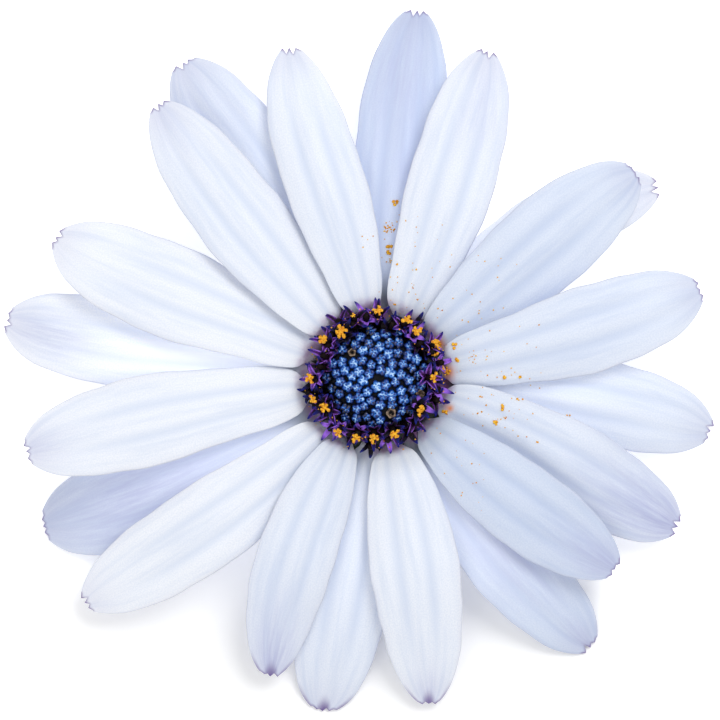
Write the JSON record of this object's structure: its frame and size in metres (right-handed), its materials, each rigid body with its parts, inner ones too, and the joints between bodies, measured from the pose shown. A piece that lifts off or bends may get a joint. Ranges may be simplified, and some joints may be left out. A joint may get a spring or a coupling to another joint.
{
  "type": "osteospermum flower head",
  "caption": "White daisy-like flower head with long overlapping ray florets round a domed disc of blue buds and a ring of open violet florets, lying face up.",
  "frame": {"origin": "centre of the flat scar under the head, on the surface that it rests on", "axes": "+Z along the axis of the disc, up and away from the surface; +Y towards the longest upright ray floret as seen from above"},
  "size_m": [0.0709, 0.0699, 0.0098],
  "materials": {
    "white_ray": "satin",
    "green_bract": "matte",
    "violet_floret": "satin",
    "blue_floret": "satin",
    "dark_anther": "matte",
    "pollen": "matte"
  },
  "bodies": {
    "root": {"involucre": "green_bract", "ray_floret_01": "white_ray", "ray_floret_02": "white_ray", "ray_floret_03": "white_ray", "ray_floret_04": "white_ray", "ray_floret_05": "white_ray", "ray_floret_06": "white_ray", "ray_floret_07": "white_ray", "ray_floret_08": "white_ray", "ray_floret_09": "white_ray", "ray_floret_10": "white_ray", "ray_floret_11": "white_ray", "ray_floret_12": "white_ray", "ray_floret_13": "white_ray", "ray_floret_14": "white_ray", "ray_floret_15": "white_ray", "ray_floret_16": "white_ray", "ray_floret_17": "white_ray", "ray_floret_18": "white_ray", "ray_floret_19": "white_ray", "ray_floret_20": "white_ray", "open_florets": "violet_floret", "closed_florets": "blue_floret"}
  },
  "joints": []
}
